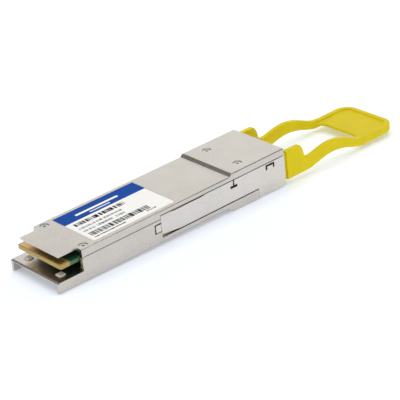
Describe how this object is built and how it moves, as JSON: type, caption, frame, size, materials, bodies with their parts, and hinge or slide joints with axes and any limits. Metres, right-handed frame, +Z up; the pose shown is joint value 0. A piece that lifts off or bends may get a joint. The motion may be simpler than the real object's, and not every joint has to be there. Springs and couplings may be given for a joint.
{
  "type": "optical transceiver module",
  "caption": "Pluggable metal optical transceiver with an edge connector in front, a fibre receptacle in its raised nose and a yellow pull tab that works the side latches.",
  "frame": {"origin": "leading edge of the flat underside, on the centreline (the end that enters the cage first)", "axes": "+X runs back from the edge connector to the pull tab, +Y is across to the left side, +Z is up through the labelled cover"},
  "size_m": [0.1129, 0.0184, 0.0103],
  "materials": {
    "housing_metal": "satin",
    "slider_metal": "satin",
    "tab_plastic": "satin",
    "label_film": "satin",
    "screw_steel": "satin",
    "board_laminate": "satin",
    "contact_gold": "polished",
    "chip_resin": "matte",
    "coil_ferrite": "matte",
    "capacitor_ceramic": "satin",
    "resistor_ceramic": "satin",
    "package_ceramic": "satin",
    "lid_alloy": "satin",
    "die_semiconductor": "gloss",
    "lens_glass": "polished",
    "flex_polyimide": "satin",
    "ribbon_coating": "satin",
    "ferrule_resin": "satin",
    "pin_steel": "polished",
    "receptacle_resin": "satin",
    "shield_alloy": "satin",
    "thermal_gel": "matte",
    "spring_steel": "polished"
  },
  "bodies": {
    "housing": {"lower_shell": "housing_metal", "upper_shell": "housing_metal", "front_cover_screws": "screw_steel", "nose_cover_screws": "screw_steel", "product_label": "label_film", "circuit_board": "board_laminate", "top_edge_contacts": "contact_gold", "bottom_edge_contacts": "contact_gold", "laser_driver_chip": "chip_resin", "receiver_amplifier_chip": "chip_resin", "microcontroller_chip": "chip_resin", "voltage_regulator_chip": "chip_resin", "power_inductors": "coil_ferrite", "ceramic_capacitors": "capacitor_ceramic", "chip_resistors": "resistor_ceramic", "transmitter_package": "package_ceramic", "transmitter_lid": "lid_alloy", "laser_array": "die_semiconductor", "transmitter_lens_array": "lens_glass", "receiver_package": "package_ceramic", "receiver_lid": "lid_alloy", "photodiode_array": "die_semiconductor", "receiver_lens_array": "lens_glass", "transmitter_flex_circuit": "flex_polyimide", "receiver_flex_circuit": "flex_polyimide", "transmit_fibre_ribbon": "ribbon_coating", "receive_fibre_ribbon": "ribbon_coating", "mt_ferrule": "ferrule_resin", "ferrule_guide_pins": "pin_steel", "ferrule_pin_clamp": "lid_alloy", "optical_receptacle": "receptacle_resin", "receptacle_shield": "shield_alloy", "upper_thermal_pad": "thermal_gel", "lower_thermal_pad": "thermal_gel", "lid_thermal_pad": "thermal_gel", "right_return_spring": "spring_steel", "left_return_spring": "spring_steel"},
    "release": {"release_slider": "slider_metal", "pull_tab": "tab_plastic"}
  },
  "joints": [
    {"name": "latch_release", "type": "slide", "parent": "housing", "child": "release", "axis": [1, 0, 0], "range_m": [0, 0.002], "stiffness_N_per_m": 1500, "springref_m": -0.002, "deforming": ["right_return_spring", "left_return_spring"]}
  ]
}
